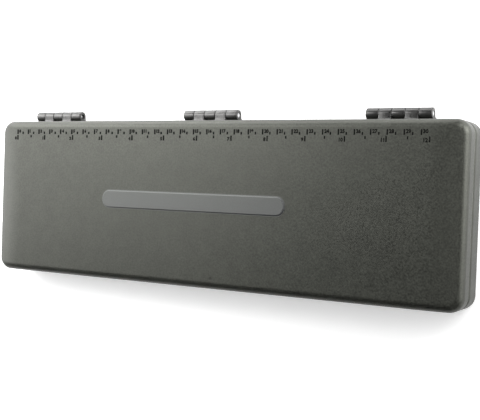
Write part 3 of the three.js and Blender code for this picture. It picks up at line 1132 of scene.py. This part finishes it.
@dataclass(frozen=True)
class Base:
    """The base: a tray with a lip round its rim, bosses for the rack's screws and a rib that stops the foam."""

    case: Case
    hinges: Hinges
    magnets: Magnets
    edge: float = 3
    inner_edge: float = 0.8
    lip_inset: float = 1.4
    lip_top: float = 16.25
    lip_edge: float = 0.25
    boss_radius: float = 3.4
    boss_height: float = 3
    boss_edge: float = 0.3
    boss_hollow: float = 0.6
    boss_bore: float = 1.3
    rib_x: float = -153.8
    rib_thickness: float = 1.6
    rib_height: float = 5
    rib_corner: float = 0.6
    rib_edge: float = 0.3

    def tray(self) -> Array:
        """The floor, the inner wall, the lip, the rim, the side and the underside.

        Returns:
            The rings.
        """
        wall, floor, rim = self.case.wall, self.case.floor, self.case.parting - self.case.rim_gap
        inner, edge, lip, lip_edge = self.inner_edge, self.case.rim_edge, self.lip_top, self.lip_edge
        profile = chain(
            [(wall + inner + 0.5, floor)],
            arc((wall + inner, floor + inner), inner, 270, 180, 5),
            [(wall, floor + inner + 0.5), (wall, lip - 0.8)],
            arc((wall - lip_edge, lip - lip_edge), lip_edge, 0, 90, 3),
            arc((self.lip_inset + lip_edge, lip - lip_edge), lip_edge, 90, 180, 3),
            [(self.lip_inset, rim), (edge[0] + 0.2, rim)],
            arc((1, -1), 1, 90, 180, 8) * edge + (0, rim),
            [(0, rim - edge[1] - 0.3), (0, 9), (0, self.edge + 0.6)],
            arc((self.edge, self.edge), self.edge, 180, 270, 10),
            [(self.edge + 0.6, 0)],
        )
        return self.case.rounds.stack(self.case.rows(profile))

    def add_screw_bosses(self, draft: Draft) -> None:
        """Adds the two bosses that the rack's screws go into.

        Args:
            draft: The base's mesh.
        """
        floor, edge, hollow = self.case.floor, self.boss_edge, self.boss_hollow
        top, foot = floor + self.boss_height, self.boss_radius + hollow
        boss = chain(
            [(self.boss_bore, floor), (self.boss_bore, top - 0.2), (self.boss_bore + 0.2, top)],
            arc((self.boss_radius - edge, top - edge), edge, 90, 0, 4),
            arc((foot, floor + hollow), hollow, 180, 270, 5),
            [(foot, floor - 0.5)],
        )
        x, y = self.case.screw_place
        for side in (-1, 1):
            draft.add_rings(lathe(boss, 48) + (x, side * y, 0), Finish.INSIDE)

    def add_rib(self, draft: Draft) -> None:
        """Adds the rib across the floor.

        Args:
            draft: The base's mesh.
        """
        floor, edge = self.case.floor, self.rib_edge
        top = floor + self.rib_height
        foot = [(0, floor + 0.5), (-0.5, floor), (-0.5, 1)]
        rib = chain([(0.5, top)], arc((edge, top - edge), edge, 90, 180, 4), foot)
        size = (self.rib_thickness, self.case.width - self.case.wall)
        draft.add_rings(Rounds().block(size, self.rib_corner, rib, (self.rib_x, 0)), Finish.INSIDE)

    def build(self) -> None:
        """Makes the base in one mesh."""
        draft = Draft(Finish.SHELL)
        draft.add_rings(self.tray())
        self.hinges.add_knuckles(draft, Half.BASE)
        self.magnets.add_bosses(draft, Half.BASE)
        self.add_screw_bosses(draft)
        self.add_rib(draft)
        settle(draft.build("base_case"), "base", "shell_plastic", "base_shell")


@dataclass(frozen=True)
class Scale:
    """One of the ruler's scales: how many units it has, and which way its marks stand from their line."""

    count: int
    unit: float
    line: float
    way: int


@dataclass(frozen=True)
class Ruler:
    """Centimetres and inches printed along the lid's hinge edge, a little bolder at the left end."""

    lid: Lid
    zero: float = -154.2
    length: float = 300
    scales: tuple[Scale, Scale] = (Scale(30, 10, 44.1, 1), Scale(12, 25.4, 43.4, -1))
    long_mark: float = 3.3
    short_mark: float = 1.7
    mark_width: Pair = (1.4, 0.8)
    mark_corner: float = 0.1
    mark_chamfer: float = 0.08
    numeral_height: float = 2.4
    numeral_gap: float = 0.55
    boldness: Pair = (0.09, 0.042)
    film: float = 0.05
    sharp: float = 30

    def along(self, ends: Pair, x: Array | float) -> Array | float:
        """Returns a size at a place along the ruler, from the sizes at its two ends."""
        return np.interp(x, (self.zero, self.zero + self.length), ends)

    def marks(self) -> Array:
        """Works out the marks of both scales: long ones at whole units and short ones at halves.

        Returns:
            Every mark's left, right, lower and upper edge.
        """
        rows = []
        for scale in self.scales:
            whole = self.zero + scale.unit * np.arange(scale.count + 1)
            middle = self.zero + scale.unit * (np.arange(scale.count) + 0.5)
            for x, length in ((whole, self.long_mark), (middle, self.short_mark)):
                ends = np.tile(sorted((scale.line, scale.line + scale.way * length)), (x.size, 1))
                half = self.along(self.mark_width, x) / 2
                rows.append(np.column_stack([x - half, x + half, ends]))
        return np.concatenate(rows)

    def add_marks(self, draft: Draft) -> None:
        """Adds the marks as thin strips with chamfered edges that follow the lid's surface.

        Args:
            draft: The ruler's mesh.
        """
        strip = Rounds(long_steps=1, short_steps=3, corner_steps=1)
        profile = chain([(self.mark_chamfer, self.film), (0, self.film / 2), (0, -self.film)])
        for left, right, low, high in self.marks():
            middle = ((left + right) / 2, (low + high) / 2)
            rings = strip.block((right - left, high - low), self.mark_corner, profile, middle)
            rings[..., 2] += self.lid.surface(rings[..., 0], rings[..., 1])
            draft.add_rings(rings)

    def numeral(self, text: str, x: float, low: float, right_hand: bool) -> tuple[Array, list[list[int]]]:
        """One number as a thin raised shape.

        Args:
            text: The number.
            x: Its mark's place.
            low: Its lower edge.
            right_hand: Whether it stands to the right of the mark.

        Returns:
            Its points and faces.
        """
        curve = bpy.data.curves.new("numeral", "FONT")
        curve.body = text
        curve.resolution_u = 3
        curve.extrude = 0.01  # Any thickness does, since the film's own takes its place below.
        curve.offset = self.along(self.boldness, x)
        holder = bpy.data.objects.new("numeral", curve)
        mesh = holder.to_mesh()
        points = np.empty(len(mesh.vertices) * 3)
        mesh.vertices.foreach_get("co", points)
        faces = [list(face.vertices) for face in mesh.polygons]
        holder.to_mesh_clear()
        bpy.data.objects.remove(holder)
        bpy.data.curves.remove(curve)
        points = points.reshape(-1, 3)
        low_corner, high_corner = points.min(axis=0), points.max(axis=0)
        scale = self.numeral_height / (high_corner[1] - low_corner[1])
        width = scale * (high_corner[0] - low_corner[0])
        gap = self.numeral_gap + self.along(self.mark_width, x) / 2
        left = x + gap if right_hand else x - gap - width
        points[:, :2] = (points[:, :2] - low_corner[:2]) * scale + (left, low)
        lift = np.where(points[:, 2] > 0, self.film, -self.film)
        points[:, 2] = self.lid.surface(points[:, 0], points[:, 1]) + lift
        return points, faces

    def build(self) -> None:
        """Makes the whole ruler in one mesh."""
        draft = Draft(Finish.INK)
        self.add_marks(draft)
        for scale in self.scales:
            above = scale.way > 0
            low = scale.line + scale.way * self.long_mark - (self.numeral_height if above else 0)
            for number in range(scale.count + 1):
                draft.add(*self.numeral(str(number), self.zero + scale.unit * number, low, above))
        settle(draft.build("ruler_print", self.sharp), "lid", "shell_plastic")


# ---- Inside the case ----


@dataclass(frozen=True)
class FoamBed:
    """The foam pad that fills the base, with room for the front bosses and a hole for each rig pin."""

    magnets: Magnets
    left: float = -152.1
    right: float = 168.7
    half_width: float = 50.2
    corner: float = 5.2
    low: float = 2
    top: float = 10
    edge: float = 0.5
    boss_gap: float = 0.9
    notch_corner: float = 1.2
    hole_radius: float = 1.0
    hole_bottom: float = 3.3
    hole_lead: float = 0.2

    def outline(self) -> Array:
        """The pad's rounded outline with a notch at each boss.

        Returns:
            Anticlockwise points.
        """
        front = -self.half_width
        back_of_boss = self.magnets.middle_y + self.magnets.width / 2 + self.magnets.wall + self.boss_gap
        half = self.magnets.length / 2 + self.magnets.wall + self.boss_gap
        centre = np.array([place.value for place in Position]) * self.magnets.offset
        notch = np.array([(-half, front), (-half, back_of_boss), (half, back_of_boss), (half, front)])
        notches = (centre[:, None, None] * (1, 0) + notch).reshape(-1, 2)
        pad = [(self.right, front), (self.right, self.half_width), (self.left, self.half_width), (self.left, front)]
        radii = np.concatenate([np.full(len(notches), self.notch_corner), np.full(len(pad), self.corner)])
        return filleted(chain(notches, pad), radii, 8)

    def build(self, holes: Array) -> None:
        """Makes the pad.

        Args:
            holes: The pins' places, as rows of X and Y.
        """
        body = carried(self.outline(), slab(self.top, self.low, (self.edge, self.edge), (5, 3)))
        draft = Draft(Finish.FOAM)
        draft.add_rings(body, top=False)
        radius, lead = self.hole_radius, self.hole_lead
        pit = lathe(chain([(radius, self.hole_bottom), (radius, self.top - lead), (radius + lead, self.top)]), 20)
        loops = [body[0, :, :2]]
        for x, y in holes:
            draft.add_rings(pit + (x, y, 0), bottom=False)
            loops.append(pit[-1, :, :2] + (x, y))
        draft.add_flat(loops, self.top)
        piece = draft.build("foam_pad")
        settle(piece, "base", "foam", "foam_bed")


@dataclass(frozen=True)
class HookRack:
    """The comb that the hooks hang in: a slotted blade on a flange."""

    case: Case
    left: float = -166.6
    right: float = -157.6
    blade: float = 2
    blade_edge: float = 0.25
    half_width: float = 45.8
    low: float = 2.1
    top: float = 17
    foot_corner: float = 0.4
    head_corner: float = 1.5
    flange_low: float = 5.1
    flange_top: float = 6.7
    flange_corner: float = 1.2
    flange_edge: float = 0.3
    flat_inset: float = 0.8
    slot_width: float = 1
    slot_depth: float = 5
    slot_mouth: float = 0.8
    slot_end: float = 0.45

    def comb(self) -> Array:
        """The blade's outline in Y and Z: rounded teeth with round-bottomed slots between them.

        Returns:
            Anticlockwise points.
        """
        count = self.case.rigs
        middle = (np.arange(count)[::-1] - (count - 1) / 2) * self.case.rig_pitch
        half, floor = self.slot_width / 2, self.top - self.slot_depth
        cut = np.array([(half, self.top), (half, floor), (-half, floor), (-half, self.top)])
        cuts = (middle[:, None, None] * (1, 0) + cut).reshape(-1, 2)
        foot = [(-self.half_width, self.low), (self.half_width, self.low), (self.half_width, self.top)]
        corners = chain(foot, cuts, [(-self.half_width, self.top)])
        slot = np.tile([self.slot_mouth, self.slot_end, self.slot_end, self.slot_mouth], count)
        radii = np.concatenate([[self.foot_corner, self.foot_corner, self.head_corner], slot, [self.head_corner]])
        return filleted(corners, radii, 5)

    def build(self) -> None:
        """Makes the rack."""
        draft = Draft(Finish.RACK)
        side = slab(self.right, self.right - self.blade, (self.blade_edge, self.blade_edge), (3, 3))
        draft.add_rings(along_x(carried(self.comb(), side)))
        right, flat, edge = self.right - self.blade / 2, self.flat_inset, self.flange_edge
        rim = slab(self.flange_top, self.flange_low, (edge, edge), (4, 4))
        plate = chain([(flat, self.flange_top)], rim, [(flat, self.flange_low)])
        size, middle = (right - self.left, 2 * self.half_width), ((self.left + right) / 2, 0)
        draft.add_rings(Rounds().block(size, self.flange_corner, plate, middle))
        settle(draft.build("hook_comb"), "base", "rack_plastic", "hook_rack")


@dataclass(frozen=True)
class RackScrews:
    """The two pan-head screws that hold the rack on its bosses.

    The head is turned. Its cross recess lowers the top by the depth, times a soft step that is 1 inside the arms.
    """

    rack: HookRack
    head: float = 2.4
    height: float = 1.7
    crown: float = 0.25
    shoulder: float = 0.5
    shoulder_drop: float = 0.75
    shank: float = 1.1
    tip: float = 1.5
    cross_depth: float = 0.9
    cross_width: Pair = (0.22, 0.36)
    cross_reach: Pair = (1.15, 1.4)
    dome_rows: int = 18
    sharp: float = 45

    def build(self) -> None:
        """Makes both screws."""
        seat = self.rack.flange_top + 0.1
        crest = seat + self.height
        inner = self.head - self.shoulder
        radius = np.linspace(0.06, inner, self.dome_rows)
        profile = chain(
            np.column_stack([radius, crest - self.crown * (radius / self.head) ** 2]),
            arc((inner, crest - self.shoulder_drop), self.shoulder, 70, 0, 6),
            [(self.head, seat + 0.15), (self.head - 0.15, seat), (self.shank, seat - 0.1)],
            [(self.shank, self.tip + 0.6), (0.5, self.tip)],
        )
        rings = lathe(profile, 96)
        top = rings[:self.dome_rows]
        near = np.minimum(np.abs(top[..., 0]), np.abs(top[..., 1]))
        far = np.maximum(np.abs(top[..., 0]), np.abs(top[..., 1]))
        arms = (1 - smooth_step(*self.cross_width, near)) * (1 - smooth_step(*self.cross_reach, far))
        top[..., 2] -= self.cross_depth * arms
        x, y = self.rack.case.screw_place
        for word, side in (("front", -1), ("back", 1)):
            place = (x, side * y, 0)
            build_one(rings + place, Finish.SCREW, "zinc", "base", "screw_steel", f"rack_screw_{word}", self.sharp)


@dataclass(frozen=True)
class RigPins:
    """The pins that hold the rigs' loops: a moulded head on a steel needle."""

    case: Case
    outer_x: float = 143.7
    column: float = 16
    seat: float = 10.1
    foot: float = 2.8
    waist: float = 1.2
    waist_hollow: float = 0.6
    cap: float = 2.5
    cap_edge: float = 0.45
    needle: float = 0.7
    needle_length: float = 6.5
    tip: float = 1.4

    def places(self) -> Array:
        """Works out where the pins stand, in two columns by turns.

        Returns:
            Each pin's X and Y.
        """
        index = np.arange(self.case.rigs)
        y = (index - (self.case.rigs - 1) / 2) * self.case.rig_pitch
        return np.column_stack([self.outer_x - self.column * (index % 2), y])

    def head(self) -> Array:
        """The head's profile: a dished cap, a hollow waist and a foot.

        Returns:
            Rows of radius and height above the foam.
        """
        hollow = self.waist_hollow
        return chain(
            [(0.2, 5.35), (0.9, 5.38), (1.3, 5.52), (1.6, 5.6)],
            arc((self.cap - self.cap_edge, 5.15), self.cap_edge, 90, 0, 6),
            arc((self.cap - 0.3, 4.1), 0.3, 0, -90, 4),
            arc((self.waist + hollow, 3.2), hollow, 90, 180, 6),
            arc((self.waist + hollow, 1.8), hollow, 180, 270, 6),
            arc((self.foot - 0.4, 0.8), 0.4, 90, 0, 5),
            [(self.foot, 0.15), (self.foot - 0.15, 0), (0.3, 0)],
        )

    def build(self) -> None:
        """Makes every pin's head and needle."""
        shank_end = self.tip - self.needle_length
        rod = chain(
            [(0.2, 0.4), (self.needle, 0.4), (self.needle, 0), (self.needle, shank_end)],
            [(self.needle * 0.75, shank_end - 0.5), (0.06, -self.needle_length)],
        )
        parts = (("head", lathe(self.head(), 40), Finish.HEAD), ("needle", lathe(rod, 20), Finish.NEEDLE))
        for number, (x, y) in enumerate(self.places(), 1):
            node = f"rig_pin_{number:02d}"
            for word, rings, finish in parts:
                build_one(rings + (x, y, self.seat), finish, word, node, "pin_plastic", node)


# ---- Studio ----


@dataclass(frozen=True)
class Softbox:
    """A square light that hangs at a distance from its target and faces it."""

    name: str
    azimuth: float
    elevation: float
    radiance: float
    size: float = 0.21
    distance: float = 0.5
    target: Place = (0, 0, 0.015)

    def build(self) -> None:
        """Hangs the light, whose azimuth counts from +X towards +Y and whose elevation counts from the floor.

        A square light of side s and radiance L gives the power pi L s squared.
        """
        turn, rise = math.radians(self.azimuth), math.radians(self.elevation)
        way = Vector((math.cos(turn) * math.cos(rise), math.sin(turn) * math.cos(rise), math.sin(rise)))
        light = bpy.data.lights.new(self.name, "AREA")
        light.shape = "SQUARE"
        light.size = self.size
        light.energy = math.pi * self.radiance * self.size**2
        holder = put_in_scene(self.name, light)
        holder.location = Vector(self.target) + way * self.distance
        holder.rotation_mode = "QUATERNION"
        holder.rotation_quaternion = way.to_track_quat("Z", "Y")


@dataclass(frozen=True)
class Studio:
    """A pale floor, soft lights and the camera. The last light faces the floor, which throws it up at the box."""

    floor_half: float = 4000
    floor_corner: float = 200
    camera_place: Place = (311.323, 12.375, 514.447)
    camera_target: Place = (31.857, -2.371, 30)
    camera_up: Place = (-0.043681, 0.999032, -0.005212)
    lens: float = 68.064
    sensor: float = 36
    clip_start: float = 0.01
    softboxes: tuple[Softbox, ...] = (
        Softbox("right_low", 30, 12, 8),
        Softbox("right_lower", 20, 4, 6),
        Softbox("left_back_low", 120, 12, 10.7),
        Softbox("left_back_high", 135, 55, 10.6),
        Softbox("left_back", 150, 32, 10.1),
        Softbox("back_low", 90, 12, 6),
        Softbox("right_end_low", 0, 12, 5),
        Softbox("right_high", 0, 66, 1.6),
        Softbox("left_back_lower", 150, 12, 4.6),
        Softbox("left_low", 180, 12, 4.6),
        Softbox("left_high", 180, 55, 3.3),
        Softbox("left", 180, 32, 2.5),
        Softbox("right_back_floor", 0, 90, 8, size=0.15, distance=0.12, target=(0.33, 0.15, 0)),
    )

    def build_floor(self) -> None:
        """Lays the floor."""
        rows = np.outer((0.5, 1), (self.floor_half, self.floor_half, self.floor_corner, 0, 0, 0))
        draft = Draft(Finish.PAPER)
        draft.add_rings(Rounds(long_steps=4, short_steps=4, corner_steps=4).stack(rows), bottom=False)
        draft.build("studio_floor")

    def build_lights(self) -> None:
        """Hangs the lights and paints the room white for the camera alone, so that it doesn't light the box."""
        for softbox in self.softboxes:
            softbox.build()
        world = bpy.data.worlds.new("studio")
        world.use_nodes = True
        tree = world.node_tree
        room = tree.nodes["Background"]
        room.inputs["Color"].default_value = (1, 1, 1, 1)
        seen = tree.nodes.new("ShaderNodeLightPath").outputs["Is Camera Ray"]
        tree.links.new(seen, room.inputs["Strength"])
        bpy.context.scene.world = world

    def build_camera(self) -> None:
        """Sets up the camera, which looks from its place to its target."""
        camera = bpy.data.cameras.new("camera")
        camera.lens = self.lens
        camera.sensor_width = self.sensor
        camera.sensor_fit = "HORIZONTAL"
        camera.clip_start = self.clip_start
        place, target = Vector(self.camera_place) * MM, Vector(self.camera_target) * MM
        forward = (target - place).normalized()
        right = forward.cross(Vector(self.camera_up)).normalized()
        up = right.cross(forward)
        holder = put_in_scene("camera", camera)
        holder.matrix_world = Matrix.Translation(place) @ Matrix((right, up, -forward)).transposed().to_4x4()
        bpy.context.scene.camera = holder

    def build(self) -> None:
        """Builds the whole studio."""
        self.build_camera()
        self.build_floor()
        self.build_lights()
        bpy.context.scene.view_settings.view_transform = "Standard"


def main() -> None:
    """Builds the studio and every piece of the box."""
    logging.basicConfig(level=logging.INFO, format="%(message)s")
    Studio().build()
    case = Case()
    hinges = Hinges(case)
    magnets = Magnets(case)
    lid = Lid(case, hinges, magnets)
    lid.build()
    Base(case, hinges, magnets).build()
    hinges.build_pins()
    magnets.build()
    Ruler(lid).build()
    pins = RigPins(case)
    pins.build()
    FoamBed(magnets).build(pins.places())
    rack = HookRack(case)
    rack.build()
    RackScrews(rack).build()


if __name__ == "__main__":
    main()
